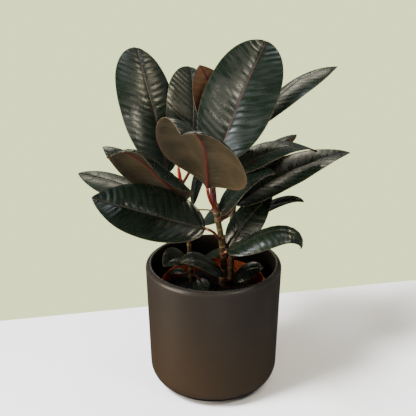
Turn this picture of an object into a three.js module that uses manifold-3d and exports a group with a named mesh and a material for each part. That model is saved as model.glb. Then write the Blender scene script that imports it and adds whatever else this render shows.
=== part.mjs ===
// Potted rubber plant: three stems with 24 leaves in a nursery pot, stood in a ceramic cover pot.
// Millimetres, +Z up, front towards -Y. The origin is the centre of the cover pot's flat underside.

import * as THREE from 'three';
import { ParametricGeometry } from 'three/addons/geometries/ParametricGeometry.js';
import { mergeVertices } from 'three/addons/utils/BufferGeometryUtils.js';
import Module from 'manifold-3d';

const wasm = await Module();
wasm.setup();

// ---- Driving dimensions ----

const FIT_GAP = 0.3; // clearance left between pieces that touch

const COVER_HEIGHT = 195;
const COVER_RIM_RADIUS = 100;
const COVER_TAPER = 4; // how much smaller the wall's radius is at the foot than at the rim
const COVER_WALL = 9;
const COVER_FLOOR = 11;
const COVER_FOOT_ROUNDING = 32;
const COVER_LIP_OUTER = 6.5; // outer rounding of the lip; the inner one fills the rest of the wall
const COVER_SEGMENTS = 48;

const POT_GAP = 13; // free ring between the nursery pot's rim and the cover pot's wall
const POT_RIM_DROP = 32.5; // nursery pot's rim below the cover pot's lip
const POT_RIM_HEIGHT = 12;
const POT_RIM_THICKNESS = 3.2;
const POT_WALL = 1.8;
const POT_TAPER = 14; // how much smaller the wall's radius is at the foot than under the rim
const DRAIN_HOLES = 6;
const DRAIN_RADIUS = 5;
const DRAIN_RING_RADIUS = 34;

const SOIL_DROP = 14.5; // soil surface below the nursery pot's rim
const SOIL_CROWN = 2; // rise of the soil towards the middle
const ROOT_DEPTH = 35; // how far each stem goes on below the soil surface

const BLADE_THICKNESS = 1.2;
const BLADE_MARGIN_THICKNESS = 0.8;
const KEEL_DEPTH = 2.8; // depth of the midrib's keel at the blade's base
const KEEL_TIP_DEPTH = 1.4;
const KEEL_SPREAD = 0.06; // half width of the keel, as a share of the half blade
const BLADE_WIDEST = 0.45; // where along the blade it is widest
const PETIOLE_RADIUS = 2.3; // on a full-grown leaf
const PETIOLE_MIN_RADIUS = 1.2; // on the smallest leaf
const FULL_BLADE_LENGTH = 180; // blades this long or longer have a full petiole
const PETIOLE_START_RISE = 25; // degrees above level at which a petiole leaves its stem
const LOW_LEAF_ROOM = 38; // the lowest right leaf is this much shorter than the cover pot's inner radius
const LOW_LEAF_LENGTH = COVER_RIM_RADIUS - COVER_WALL - LOW_LEAF_ROOM;

// Stems: radius, axis as x, y and height above the soil, and the pointed bud on top.
const STEMS = {
  left: {
    radius: 3.4,
    axis: [[-33, 26, 0], [-35, 24, 37], [-37, 21, 74], [-41, 20, 114], [-46, 20, 152], [-48, 20, 168]],
    bud: { length: 28, radius: 2.8, azimuth: 165, rise: 78 },
  },
  main: {
    radius: 4.8,
    axis: [[14, 8, 0], [15, 5, 43], [11.5, 2, 80], [7, 0, 108], [1, 0, 140]],
    bud: { length: 36, radius: 3.6, azimuth: 180, rise: 74 },
  },
  right: {
    radius: 4,
    axis: [[26, 28, 0], [27, 29, 41], [27, 37, 82], [31, 47, 122], [34, 55, 157], [33, 60, 180]],
    bud: { length: 24, radius: 2.8, azimuth: 80, rise: 70 },
  },
};

// Leaves, numbered up each stem, one row each.
// node: height on the stem, above the soil, where the petiole starts
// x, y, z: where the blade starts, z above the soil
// length, width: the blade's size
// azimuth, rise: the midrib's compass angle (0 = +X, 90 = +Y) and its slope, at the base
// arch, bow: how far the slope drops by the tip, and the power that leaves the drop for the tip
// sweep: how far the compass angle turns by the tip
// roll, twist: tilt about the midrib at the base (left half up), and how much more by the tip
// fold, cup: slope of each half beside the midrib, and how much it bends by the margin
// curlL, curlR: extra bend close to the left and the right margin
// blunt: 0 for a pointed tip, 1 for a round one
const LEAF_FIELDS = [
  'node', 'x', 'y', 'z', 'length', 'width', 'azimuth', 'rise', 'arch', 'bow',
  'sweep', 'roll', 'twist', 'fold', 'cup', 'curlL', 'curlR', 'blunt',
];
const LEAVES = {
  left: [
    [9, -42, 25, 14, 28, 16, 181, 23, 64, 1.3, 0, -6, 3, 16, -9, 0, 0, 0],
    [12, -22, 6, 14, 32, 26, -75, -5, 20, 1.3, 0, 10, 0, 8, -30, 0, 0, 0],
    [30, -38, 11, 43, 62, 37, 233, 34, 64, 1.9, 2, -29, -5, 20, -18, 0, 0, 0],
    [111, -63, 27, 124, 153, 87, 164, 21, 19, 1.3, -5, 9, -11, 7, -29, 0, 0, 0],
    [122, -41, 6, 141, 203, 96, 217, 46, 57, 3.7, 33, 29, -33, 32, -89, -99, -17, 0],
    [147, -68, 49, 167, 207, 104, 128, 74, 46, 1.3, -23, 13, 4, 4, -33, 0, 0, 1],
    [159, -33, 52, 178, 188, 98, 84, 44, 17, 1.3, 14, 19, 3, 14, 0, 0, 0, 0.6],
  ],
  main: [
    [16, 15, -8, 28, 81, 41, 201, 46, 66, 2.2, 4, -16, -4, 13, -32, 0, 0, 0],
    [52, 24, 2, 68, 102, 57, 22, 62, 31, 1.3, -4, 27, -11, 4, -24, 0, 0, 0],
    [58, 18, -34, 79, 134, 61, -4, 33, 146, 3.3, -4, 6, 4, 8, -62, 0, 0, 0],
    [84, -12, -50, 122, 164, 91, 182, 16, 4, 1.3, -16, -30, -5, 12, -8, 0, 0, 0],
    [112, 32, 9, 133, 188, 92, 19, 32, 28, 1.3, -7, 6, -8, 13, -19, 0, 0, 0],
    [116, 11, -7, 126, 103, 86, -4, 64, 53, 1.3, -11, 11, -11, 21, -37, 0, 0, 0.4],
    [124, -30, 29, 123, 84, 51, 166, 95, -20, 1.3, -10, 1, -11, 10, -8, 0, 0, 0],
    [134, 3, 14, 197, 203, 106, 50, 57, 22, 1.3, 12, 24, -2, 15, -11, 0, 0, 1],
    [136, -9, -45, 182, 215, 135, -88, 50, 55, 3.1, -23, -26, 10, 30, -95, 39, 23, 0],
  ],
  right: [
    [5, 31, 13, 8, LOW_LEAF_LENGTH, 35, 3, 57, 78, 1.3, 0, 11, 14, 2, -31, 0, 0, 0],
    [38, 23, 38, 43, 60, 30, 142, -9, 45, 1.3, 0, -10, -7, 8, -32, 0, 0, 0],
    [82, 45, 44, 88, 105, 61, -13, 47, 46, 1.3, -8, 4, -8, 18, -34, 0, 0, 0],
    [95, 28, 50, 100, 83, 54, 129, -6, 49, 1.3, -2, -29, -6, 10, -21, 0, 0, 0],
    [152, 47, 69, 169, 146, 67, 52, 25, 57, 1.3, 5, -29, 2, 9, -27, 0, 0, 0],
    [157, 33, 26, 181, 127, 81, 12, 31, 61, 1.8, -6, 10, -25, 7, -10, 0, 0, 0.4],
    [170, 27, 64, 188, 143, 84, -45, 108, -22, 1.3, 4, -4, -11, 9, -26, 0, 0, 0.3],
    [174, 46, 67, 222, 199, 92, 32, 46, 53, 1.3, 5, -20, 8, 3, -34, 0, 0, 0],
  ],
};

// ---- Levels and radii that follow from them ----

// Points of a quarter circle in the profile plane, angles in degrees.
function arc(centreRadius, centreHeight, radius, from, to, steps) {
  const points = [];
  for (let i = 0; i <= steps; i += 1) {
    const angle = THREE.MathUtils.degToRad(from + (to - from) * i / steps);
    points.push([centreRadius + radius * Math.cos(angle), centreHeight + radius * Math.sin(angle)]);
  }
  return points;
}

const POT_TOP = COVER_HEIGHT - POT_RIM_DROP;
const POT_RIM_RADIUS = COVER_RIM_RADIUS - COVER_WALL - POT_GAP;
const POT_WALL_RADIUS = POT_RIM_RADIUS - POT_RIM_THICKNESS + POT_WALL;
const POT_FOOT_RADIUS = POT_WALL_RADIUS - POT_TAPER;

// The inside of the cover pot's foot, from the wall down to the flat of its floor.
const coverFootRadius = COVER_RIM_RADIUS - COVER_TAPER;
const innerRounding = COVER_FOOT_ROUNDING - COVER_WALL;
const innerFoot = arc(
  coverFootRadius - COVER_FOOT_ROUNDING, COVER_FLOOR + innerRounding, innerRounding, 0, -90, 4,
);

// Height of the cover pot's inside at a radius, with its flat facets counted.
function coverInside(radius) {
  const facet = radius / Math.cos(Math.PI / COVER_SEGMENTS);
  const below = innerFoot.findIndex(([r]) => r <= facet);
  if (below < 1) return COVER_FLOOR;
  const [[outerR, outerZ], [innerR, innerZ]] = [innerFoot[below - 1], innerFoot[below]];
  return innerZ + (outerZ - innerZ) * (facet - innerR) / (outerR - innerR);
}

const POT_BOTTOM = coverInside(POT_FOOT_RADIUS) + FIT_GAP;
const SOIL_TOP = POT_TOP - SOIL_DROP;
const SOIL_BOTTOM = POT_BOTTOM + POT_WALL + FIT_GAP;

// ---- Helpers ----

const plant = new THREE.Group();

function add(name, geometry, color, roughness) {
  const material = new THREE.MeshStandardMaterial({ color, roughness, metalness: 0 });
  const mesh = new THREE.Mesh(geometry, material);
  mesh.name = name;
  plant.add(mesh);
}

// One closed body: shared corners merged, triangles that shrank to a line dropped.
function closed(geometry) {
  geometry.deleteAttribute('normal');
  geometry.deleteAttribute('uv');
  const merged = mergeVertices(geometry, 1e-4);
  const corners = merged.index.array;
  const kept = [];
  for (let i = 0; i < corners.length; i += 3) {
    const [a, b, c] = corners.slice(i, i + 3);
    if (a !== b && b !== c && c !== a) kept.push(a, b, c);
  }
  merged.setIndex(kept);
  merged.computeVertexNormals();
  return merged;
}

function toManifold(geometry) {
  const vertProperties = new Float32Array(geometry.attributes.position.array);
  const triVerts = new Uint32Array(geometry.index.array);
  return new wasm.Manifold(new wasm.Mesh({ numProp: 3, vertProperties, triVerts }));
}

function cut(geometry, tools) {
  let body = toManifold(geometry);
  for (const tool of tools) body = body.subtract(toManifold(tool));
  const mesh = body.getMesh();
  const result = new THREE.BufferGeometry();
  result.setAttribute('position', new THREE.BufferAttribute(mesh.vertProperties, 3));
  result.setIndex(new THREE.BufferAttribute(mesh.triVerts, 1));
  return closed(result);
}

// A body of revolution about Z from a profile of [radius, height] points.
function lathe(profile, segments) {
  const points = profile.map(([radius, height]) => new THREE.Vector2(radius, height));
  const geometry = new THREE.LatheGeometry(points, segments);
  geometry.rotateX(Math.PI / 2);
  return closed(geometry);
}

function tube(curve, radius, sides, steps) {
  const section = new THREE.Shape();
  for (let i = 0; i < sides; i += 1) {
    const angle = 2 * Math.PI * i / sides;
    const corner = [radius * Math.cos(angle), radius * Math.sin(angle)];
    if (i === 0) section.moveTo(...corner);
    else section.lineTo(...corner);
  }
  section.closePath();
  const options = { steps, extrudePath: curve, bevelEnabled: false };
  return closed(new THREE.ExtrudeGeometry(section, options));
}

function direction(azimuth, rise) {
  const a = THREE.MathUtils.degToRad(azimuth);
  const r = THREE.MathUtils.degToRad(rise);
  return new THREE.Vector3(Math.cos(r) * Math.cos(a), Math.cos(r) * Math.sin(a), Math.sin(r));
}

// ---- Cover pot ----

const lipInner = COVER_WALL - COVER_LIP_OUTER;
const coverProfile = [
  [0, 0],
  ...arc(coverFootRadius - COVER_FOOT_ROUNDING, COVER_FOOT_ROUNDING, COVER_FOOT_ROUNDING, -90, 0, 6),
  ...arc(COVER_RIM_RADIUS - COVER_LIP_OUTER, COVER_HEIGHT - COVER_LIP_OUTER, COVER_LIP_OUTER, 0, 90, 4),
  ...arc(COVER_RIM_RADIUS - COVER_WALL + lipInner, COVER_HEIGHT - lipInner, lipInner, 90, 180, 2).slice(1),
  ...innerFoot,
  [0, COVER_FLOOR],
];
add('cover_pot', lathe(coverProfile, COVER_SEGMENTS), 0x3f3731, 0.42);

// ---- Nursery pot ----

const potRimBottom = POT_TOP - POT_RIM_HEIGHT;
const potProfile = [
  [0, POT_BOTTOM],
  [POT_FOOT_RADIUS, POT_BOTTOM],
  [POT_WALL_RADIUS, potRimBottom],
  [POT_RIM_RADIUS, potRimBottom],
  [POT_RIM_RADIUS, POT_TOP - 1],
  [POT_RIM_RADIUS - 1, POT_TOP],
  [POT_RIM_RADIUS - POT_RIM_THICKNESS + 1, POT_TOP],
  [POT_RIM_RADIUS - POT_RIM_THICKNESS, POT_TOP - 1],
  [POT_WALL_RADIUS - POT_WALL, potRimBottom],
  [POT_FOOT_RADIUS - POT_WALL, POT_BOTTOM + POT_WALL],
  [0, POT_BOTTOM + POT_WALL],
];
const drains = [];
for (let i = 0; i < DRAIN_HOLES; i += 1) {
  const angle = 2 * Math.PI * i / DRAIN_HOLES;
  const drain = new THREE.CylinderGeometry(DRAIN_RADIUS, DRAIN_RADIUS, 4 * POT_WALL, 10);
  drain.rotateX(Math.PI / 2);
  drain.translate(DRAIN_RING_RADIUS * Math.cos(angle), DRAIN_RING_RADIUS * Math.sin(angle), POT_BOTTOM);
  drains.push(closed(drain));
}
add('nursery_pot', cut(lathe(potProfile, 40), drains), 0x9c4a2c, 0.55);

// ---- Stems and their buds ----

const stems = {};
for (const [name, { radius, axis, bud }] of Object.entries(STEMS)) {
  const [footX, footY] = axis[0];
  const points = [[footX, footY, -ROOT_DEPTH], ...axis];
  const path = points.map(([x, y, z]) => new THREE.Vector3(x, y, SOIL_TOP + z));
  const curve = new THREE.CatmullRomCurve3(path, false, 'catmullrom');
  stems[name] = { radius, curve, samples: curve.getPoints(200) };
  add(`${name}_stem`, tube(curve, radius, 10, 14), 0x46381c, 0.6);

  const lean = direction(bud.azimuth, bud.rise);
  const tilt = new THREE.Quaternion().setFromUnitVectors(new THREE.Vector3(0, 0, 1), lean);
  const budProfile = [
    [0, 0],
    [bud.radius * 0.85, 0],
    [bud.radius, bud.length * 0.2],
    [bud.radius * 0.8, bud.length * 0.55],
    [bud.radius * 0.4, bud.length * 0.85],
    [0, bud.length],
  ];
  const sheath = lathe(budProfile, 10);
  sheath.applyQuaternion(tilt);
  const seat = path.at(-1).clone();
  seat.z += FIT_GAP + radius * Math.cos(THREE.MathUtils.degToRad(bud.rise)) + 0.5;
  sheath.translate(seat.x, seat.y, seat.z);
  add(`${name}_bud`, sheath, 0x6a1e22, 0.4);
}

// The stem's axis at a height above the soil.
function onStem(stem, height) {
  const level = SOIL_TOP + height;
  const above = stem.samples.findIndex((point) => point.z >= level);
  const [low, high] = [stem.samples[above - 1], stem.samples[above]];
  return low.clone().lerp(high, (level - low.z) / (high.z - low.z));
}

// ---- Soil, with a hole for each stem ----

const soilTaper = POT_TAPER / (potRimBottom - POT_BOTTOM);
const soilRadius = (z) => POT_FOOT_RADIUS - POT_WALL - 2 * FIT_GAP + soilTaper * (z - POT_BOTTOM - POT_WALL);
const soilProfile = [
  [0, SOIL_BOTTOM],
  [soilRadius(SOIL_BOTTOM), SOIL_BOTTOM],
  [soilRadius(SOIL_TOP - 4), SOIL_TOP - 4],
  [soilRadius(SOIL_TOP - 4) * 0.85, SOIL_TOP - 1],
  [soilRadius(SOIL_TOP - 4) * 0.5, SOIL_TOP + SOIL_CROWN * 0.6],
  [0, SOIL_TOP + SOIL_CROWN],
];
const rootHoles = Object.values(stems).map(({ curve, radius }) => tube(curve, radius + FIT_GAP, 10, 14));
add('soil', cut(lathe(soilProfile, 36), rootHoles), 0x14100d, 0.95);

// ---- Leaves ----

const SPINE_STEPS = 50;
const STATIONS = [0, 1, 4, 9, 15, 21, 27, 33, 39, 44, 48, 50]; // spine steps that carry a section
const SMALL_BLADE = 90; // shorter blades carry fewer sections
const SMALL_STATIONS = [0, 2, 8, 17, 27, 37, 45, 50];
const TOP_PLACES = [-1, -0.72, -0.38, 0, 0.38, 0.72, 1]; // across the upper face, left margin is +1
const UNDER_PLACES = [1, 0.72, 0.38, KEEL_SPREAD, 0, -KEEL_SPREAD, -0.38, -0.72, -1];

// Half width at s along the blade, as a share of the greatest: a rounded base, and a tip between
// pointed and round.
function outline(s, blunt) {
  if (s < BLADE_WIDEST) return Math.sqrt(1 - ((BLADE_WIDEST - s) / BLADE_WIDEST) ** 2);
  const x = (s - BLADE_WIDEST) / (1 - BLADE_WIDEST);
  return Math.max(0, 1 - x ** (2.2 + 0.4 * blunt)) ** (0.9 - 0.26 * blunt);
}

function spine(leaf) {
  const frames = [];
  const point = new THREE.Vector3(leaf.x, leaf.y, SOIL_TOP + leaf.z);
  for (let i = 0; i <= SPINE_STEPS; i += 1) {
    const s = i / SPINE_STEPS;
    const azimuth = leaf.azimuth + leaf.sweep * s;
    const along = direction(azimuth, leaf.rise - leaf.arch * s ** leaf.bow);
    const level = direction(azimuth + 90, 0);
    const lift = new THREE.Vector3().crossVectors(along, level);
    const roll = THREE.MathUtils.degToRad(leaf.roll + leaf.twist * s);
    const left = level.clone().multiplyScalar(Math.cos(roll)).addScaledVector(lift, Math.sin(roll));
    const up = new THREE.Vector3().crossVectors(along, left);
    frames.push({ s, point: point.clone(), along, left, up });
    point.addScaledVector(along, leaf.length / SPINE_STEPS);
  }
  return frames;
}

// A point of the section at place t: -1 is the right margin, +1 the left one. depth goes below the face.
function sectionPoint(leaf, frame, t, depth) {
  const side = t < 0 ? -1 : 1;
  const curl = side > 0 ? leaf.curlL : leaf.curlR;
  const reach = Math.abs(t) * outline(frame.s, leaf.blunt) * leaf.width / 2;
  const steps = 12;
  let lateral = 0;
  let lift = 0;
  let slope = THREE.MathUtils.degToRad(leaf.fold);
  for (let k = 0; k < steps; k += 1) {
    const q = (k + 0.5) / steps * reach / (leaf.width / 2);
    slope = THREE.MathUtils.degToRad(leaf.fold + leaf.cup * q + curl * q ** 3);
    lateral += Math.cos(slope) * reach / steps;
    lift += Math.sin(slope) * reach / steps;
  }
  if (t === 0) slope = 0;
  return frame.point.clone()
    .addScaledVector(frame.left, side * (lateral + depth * Math.sin(slope)))
    .addScaledVector(frame.up, lift - depth * Math.cos(slope));
}

// The under face's quads are split along the same diagonals as the face's, so the two never cross.
function blade(leaf) {
  const frames = spine(leaf);
  const stations = leaf.length < SMALL_BLADE ? SMALL_STATIONS : STATIONS;
  const sections = stations.map((step) => {
    const frame = frames[step];
    if (step === 0 || step === SPINE_STEPS) return [frame.point];
    const keel = KEEL_DEPTH + (KEEL_TIP_DEPTH - KEEL_DEPTH) * frame.s;
    const face = TOP_PLACES.map((t) => sectionPoint(leaf, frame, t, 0));
    const under = UNDER_PLACES.map((t) => {
      const thin = BLADE_THICKNESS + (BLADE_MARGIN_THICKNESS - BLADE_THICKNESS) * Math.abs(t);
      return sectionPoint(leaf, frame, t, t === 0 ? keel : thin);
    });
    return [...face, ...under];
  });
  const around = TOP_PLACES.length + UNDER_PLACES.length;
  const pick = (u, v, target) => {
    const section = sections[Math.round(v * (sections.length - 1))];
    target.copy(section[Math.round((1 - u) * around) % section.length]);
  };
  const skin = new ParametricGeometry(pick, around, sections.length - 1);
  const corners = skin.index.array;
  for (let k = 0; k < corners.length; k += 6) {
    if ((k / 6) % around < UNDER_PLACES.length) {
      const [a, b, d, , c] = corners.slice(k, k + 5);
      corners.set([a, b, c, a, c, d], k);
    }
  }
  return closed(skin);
}

// The petiole curves from its node into the direction in which the blade starts.
function petiole(leaf, stem) {
  const growth = Math.min(1, leaf.length / FULL_BLADE_LENGTH);
  const radius = Math.max(PETIOLE_MIN_RADIUS, PETIOLE_RADIUS * growth);
  const foot = onStem(stem, leaf.node);
  const base = new THREE.Vector3(leaf.x, leaf.y, SOIL_TOP + leaf.z);
  const outward = new THREE.Vector3(base.x - foot.x, base.y - foot.y, 0).normalize();
  const rise = THREE.MathUtils.degToRad(PETIOLE_START_RISE);
  const start = foot.clone().addScaledVector(outward, stem.radius + radius * Math.sin(rise) + 2 * FIT_GAP);
  const along = direction(leaf.azimuth, leaf.rise);
  const end = base.clone().addScaledVector(along, -FIT_GAP);
  const third = start.distanceTo(end) / 3;
  const leaving = outward.multiplyScalar(Math.cos(rise)).setZ(Math.sin(rise));
  const curve = new THREE.CubicBezierCurve3(
    start,
    start.clone().addScaledVector(leaving, third),
    end.clone().addScaledVector(along, -third),
    end,
  );
  return tube(curve, radius, 7, 4);
}

for (const [name, rows] of Object.entries(LEAVES)) {
  rows.forEach((row, i) => {
    const leaf = Object.fromEntries(LEAF_FIELDS.map((field, k) => [field, row[k]]));
    add(`${name}_leaf_${i + 1}`, blade(leaf), 0x1c2620, 0.32);
    add(`${name}_petiole_${i + 1}`, petiole(leaf, stems[name]), 0x551c18, 0.45);
  });
}

export default plant;
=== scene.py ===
import math
import random

import bmesh
import bpy
from mathutils import Matrix, Vector, noise


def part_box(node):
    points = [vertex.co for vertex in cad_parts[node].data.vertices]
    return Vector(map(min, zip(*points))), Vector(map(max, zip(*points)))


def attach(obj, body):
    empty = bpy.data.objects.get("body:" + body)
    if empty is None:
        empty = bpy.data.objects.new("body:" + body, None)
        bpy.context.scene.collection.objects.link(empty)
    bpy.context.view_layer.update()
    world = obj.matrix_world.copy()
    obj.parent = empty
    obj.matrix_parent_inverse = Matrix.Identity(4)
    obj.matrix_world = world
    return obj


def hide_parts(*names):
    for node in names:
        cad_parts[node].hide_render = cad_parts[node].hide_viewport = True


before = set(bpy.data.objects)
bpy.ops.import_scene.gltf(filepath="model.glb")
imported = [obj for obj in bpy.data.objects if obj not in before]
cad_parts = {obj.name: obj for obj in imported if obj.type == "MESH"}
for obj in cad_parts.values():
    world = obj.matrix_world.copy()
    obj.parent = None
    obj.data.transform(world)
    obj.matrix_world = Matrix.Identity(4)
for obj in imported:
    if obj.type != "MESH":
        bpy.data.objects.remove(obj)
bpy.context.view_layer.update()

# ---- Cover pot ----
# A slip-cast stoneware cylinder with a softly rounded foot and lip, fired in a satin bronze-brown
# glaze outside and a dull dark one inside, whose colour is darkened to near-black as painted shade
# in the hollow. It stands on an unglazed foot ring.

MM = 0.001
POT_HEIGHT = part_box("cover_pot")[1].z / MM
POT_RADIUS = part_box("cover_pot")[1].x / MM
POT_DRAFT = 4
POT_FOOT_RADIUS = POT_RADIUS - POT_DRAFT
POT_FLOOR = 11
POT_WALL = 9
FOOT_ROUNDING = 32
LIP_OUTER = 6.5
LIP_INNER = POT_WALL - LIP_OUTER
# Heights over which the wall leans out by its draft, outside and inside.
OUTSIDE_RISE = 156.5
INSIDE_RISE = 180
FOOT_RING = (55, 58)
FOOT_RECESS = 1.6
COVER_STEPS = 128
# Where the glaze changes, in metres: heights of the warm and the bare foot, of the lip, painted
# paler as a sheen, and of the floor inside, and the radius of the wall inside, which bound the
# painted shade.
WARM_FOOT = (0.03, 0.22)
BARE_FOOT = (0.0002, 0.0014)
SHEEN_LIP = (0.1872, 0.1915)
INSIDE_FLOOR = (0.006, 0.008)
INSIDE_WALL = (0.0905, 0.0915)


class Signal:
    """One output of a finish's nodes. A sum of signals adds the Math nodes that work it out."""

    def __init__(self, finish, socket):
        self.finish = finish
        self.socket = socket

    def sum(self, operation, first, second=0.0):
        return self.finish.node("ShaderNodeMath", {"operation": operation}, {0: first, 1: second})

    def __add__(self, other):
        return self.sum("ADD", self, other)

    __radd__ = __add__

    def __sub__(self, other):
        return self.sum("SUBTRACT", self, other)

    def __rsub__(self, other):
        return self.sum("SUBTRACT", other, self)

    def __mul__(self, other):
        return self.sum("MULTIPLY", self, other)

    __rmul__ = __mul__

    def __abs__(self):
        return self.sum("ABSOLUTE", self)


class Finish:
    """The nodes of one surface finish, or of the room's air."""

    def __init__(self, name, tree=None):
        if tree is None:
            self.material = bpy.data.materials.new(name)
            self.material.use_nodes = True
            tree = self.material.node_tree
        self.tree = tree
        self.tree.nodes.clear()

    def node(self, kind, settings=None, sockets=None, output=0):
        made = self.tree.nodes.new(kind)
        for key, value in (settings or {}).items():
            if key == "stops":
                while len(made.color_ramp.elements) < len(value):
                    made.color_ramp.elements.new(0.5)
                for element, (position, color) in zip(made.color_ramp.elements, value):
                    element.position = position
                    element.color = color
            else:
                setattr(made, key, value)
        for key, value in (sockets or {}).items():
            if isinstance(value, Signal):
                self.tree.links.new(value.socket, made.inputs[key])
            else:
                made.inputs[key].default_value = value
        return Signal(self, made.outputs[output]) if made.outputs else made


def rgb(red, green, blue):
    """A colour as seen, 0 to 255 a channel, in the linear values that a shader takes."""
    shares = [channel / 255 for channel in (red, green, blue)]
    return (*[s / 12.92 if s < 0.04045 else ((s + 0.055) / 1.055) ** 2.4 for s in shares], 1.0)


def object_place(finish, scale=(1, 1, 1)):
    """The place on the object, in metres, stretched for a pattern."""
    coordinates = finish.node("ShaderNodeTexCoord", output=3)
    return finish.node("ShaderNodeMapping", {}, {"Vector": coordinates, "Scale": scale})


def clouds(finish, place, scale, detail=3.0, roughness=0.5):
    """Soft patches, so many to a metre."""
    sockets = {"Vector": place, "Scale": scale, "Detail": detail, "Roughness": roughness}
    return finish.node("ShaderNodeTexNoise", {}, sockets)


def step(finish, value, low, high):
    """0 below low, 1 above high and smooth between them."""
    return finish.node(
        "ShaderNodeMapRange",
        {"interpolation_type": "SMOOTHSTEP"},
        {"Value": value, "From Min": low, "From Max": high},
    )


def blend(finish, share, first, second):
    """A colour between two."""
    return finish.node(
        "ShaderNodeMix", {"data_type": "RGBA"}, {0: share, 6: first, 7: second}, output=2
    )


def bump(finish, height, distance, strength):
    """A fine relief in the surface, so deep in metres where the height is 1."""
    return finish.node(
        "ShaderNodeBump", {}, {"Height": height, "Distance": distance, "Strength": strength}
    )


def surface(finish, **sockets):
    """Ends a finish with its shader; a socket's name is written with _ for its spaces."""
    named = {key.replace("_", " "): value for key, value in sockets.items()}
    shader = finish.node("ShaderNodeBsdfPrincipled", {}, named)
    finish.node("ShaderNodeOutputMaterial", {}, {"Surface": shader})
    return finish.material


def arc(centre_radius, centre_height, radius, start, end, steps):
    """Points of a quarter round in the profile plane, in millimetres."""
    angles = [math.radians(start + (end - start) * i / steps) for i in range(steps + 1)]
    return [
        (centre_radius + radius * math.cos(a), centre_height + radius * math.sin(a))
        for a in angles
    ]


def turned(profile, steps):
    """A closed body turned about Z from a profile of radius and height, in millimetres."""
    bm = bmesh.new()
    corners = [bm.verts.new((radius * MM, 0, height * MM)) for radius, height in profile]
    edges = [bm.edges.new(pair) for pair in zip(corners, corners[1:])]
    bmesh.ops.spin(
        bm, geom=corners + edges, angle=2 * math.pi, steps=steps, axis=(0, 0, 1), use_merge=True
    )
    bmesh.ops.remove_doubles(bm, verts=bm.verts[:], dist=1e-6)
    bmesh.ops.recalc_face_normals(bm, faces=bm.faces[:])
    return bm


def piece(name, bm, nodes, finishes, sharp=math.radians(50)):
    """A finished piece: its mesh, the CAD nodes it stands for and its finishes."""
    for edge in bm.edges:
        edge.smooth = len(edge.link_faces) < 2 or edge.calc_face_angle(0) < sharp
    for face in bm.faces:
        face.smooth = True
    mesh = bpy.data.meshes.new(name)
    bm.to_mesh(mesh)
    bm.free()
    made = bpy.data.objects.new(name, mesh)
    bpy.context.scene.collection.objects.link(made)
    for finish in finishes:
        mesh.materials.append(finish)
    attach(made, "root")
    if nodes:
        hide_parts(*nodes)
    return made


inner_rounding = FOOT_ROUNDING - POT_WALL
cover_profile = [
    (0, FOOT_RECESS),
    (FOOT_RING[0] - 1.5, FOOT_RECESS),
    (FOOT_RING[0], 0),
    (FOOT_RING[1], 0),
    (FOOT_RING[1] + 1, 0.5),
    *arc(POT_FOOT_RADIUS - FOOT_ROUNDING, FOOT_ROUNDING, FOOT_ROUNDING, -84, 0, 14),
    *[
        (POT_FOOT_RADIUS + POT_DRAFT * (z - FOOT_ROUNDING) / OUTSIDE_RISE, z)
        for z in (60, 90, 120, 150, 175)
    ],
    *arc(POT_RADIUS - LIP_OUTER, POT_HEIGHT - LIP_OUTER, LIP_OUTER, 0, 90, 8),
    *arc(POT_RADIUS - POT_WALL + LIP_INNER, POT_HEIGHT - LIP_INNER, LIP_INNER, 100, 180, 4),
    *[
        (POT_RADIUS - POT_WALL - POT_DRAFT * (POT_HEIGHT - z) / INSIDE_RISE, z)
        for z in (170, 120, 70)
    ],
    *arc(POT_FOOT_RADIUS - FOOT_ROUNDING, POT_FLOOR + inner_rounding, inner_rounding, 0, -90, 8),
    (0, POT_FLOOR),
]
glaze = Finish("bronze_glaze")
place = object_place(glaze)
height = glaze.node("ShaderNodeSeparateXYZ", {}, {"Vector": place}, output=2)
flat = glaze.node(
    "ShaderNodeVectorMath", {"operation": "MULTIPLY"}, {0: place, 1: (1, 1, 0)}
)
radius = glaze.node("ShaderNodeVectorMath", {"operation": "LENGTH"}, {0: flat}, output=1)
drift = clouds(glaze, object_place(glaze, (1, 1, 0.45)), 11, 4)
body = blend(glaze, step(glaze, drift, 0.36, 0.66), rgb(38, 34, 30), rgb(48, 43, 38))
warm_foot = 1 - step(glaze, height + drift * 0.05, *WARM_FOOT)
body = blend(glaze, warm_foot * 0.8, body, rgb(58, 44, 27))
mottle = clouds(glaze, place, 420, 5, 0.6)
body = blend(glaze, step(glaze, mottle, 0.35, 0.75) * 0.4, body, rgb(46, 37, 26))
# Painted sheen: the lip's band is painted paler and greyer, and it is also glossier.
lip_sheen = step(glaze, height, *SHEEN_LIP)
body = blend(glaze, lip_sheen * 0.6, body, rgb(56, 54, 52))
# Painted shade: the inside, a dull matt glaze, is darkened to near-black where shade falls in the
# hollow.
shaded_inside = (1 - step(glaze, radius, *INSIDE_WALL)) * step(glaze, height, *INSIDE_FLOOR)
body = blend(glaze, shaded_inside, body, rgb(9, 8, 7))
bare = 1 - step(glaze, height, *BARE_FOOT)
body = blend(glaze, bare, body, rgb(122, 98, 78))
orange_peel = bump(glaze, clouds(glaze, place, 900, 3, 0.6), 0.0003, 0.35)
glaze_finish = surface(
    glaze,
    Base_Color=body,
    Metallic=(1 - shaded_inside) * (1 - bare) * 0.25,
    Roughness=0.5 + (mottle - 0.5) * 0.16 + shaded_inside * 0.35 + bare * 0.4 - lip_sheen * 0.22,
    Normal=orange_peel,
    Specular_IOR_Level=0.2,
)
cover = turned(cover_profile, COVER_STEPS)
piece("cover_pot_glazed", cover, ["cover_pot"], [glaze_finish])

# ---- Nursery pot ----
# The thin terracotta-coloured plastic pot the plant was grown in, moulded with a thick
# band at its rim and slots in its floor, and set down inside the cover pot.

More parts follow.
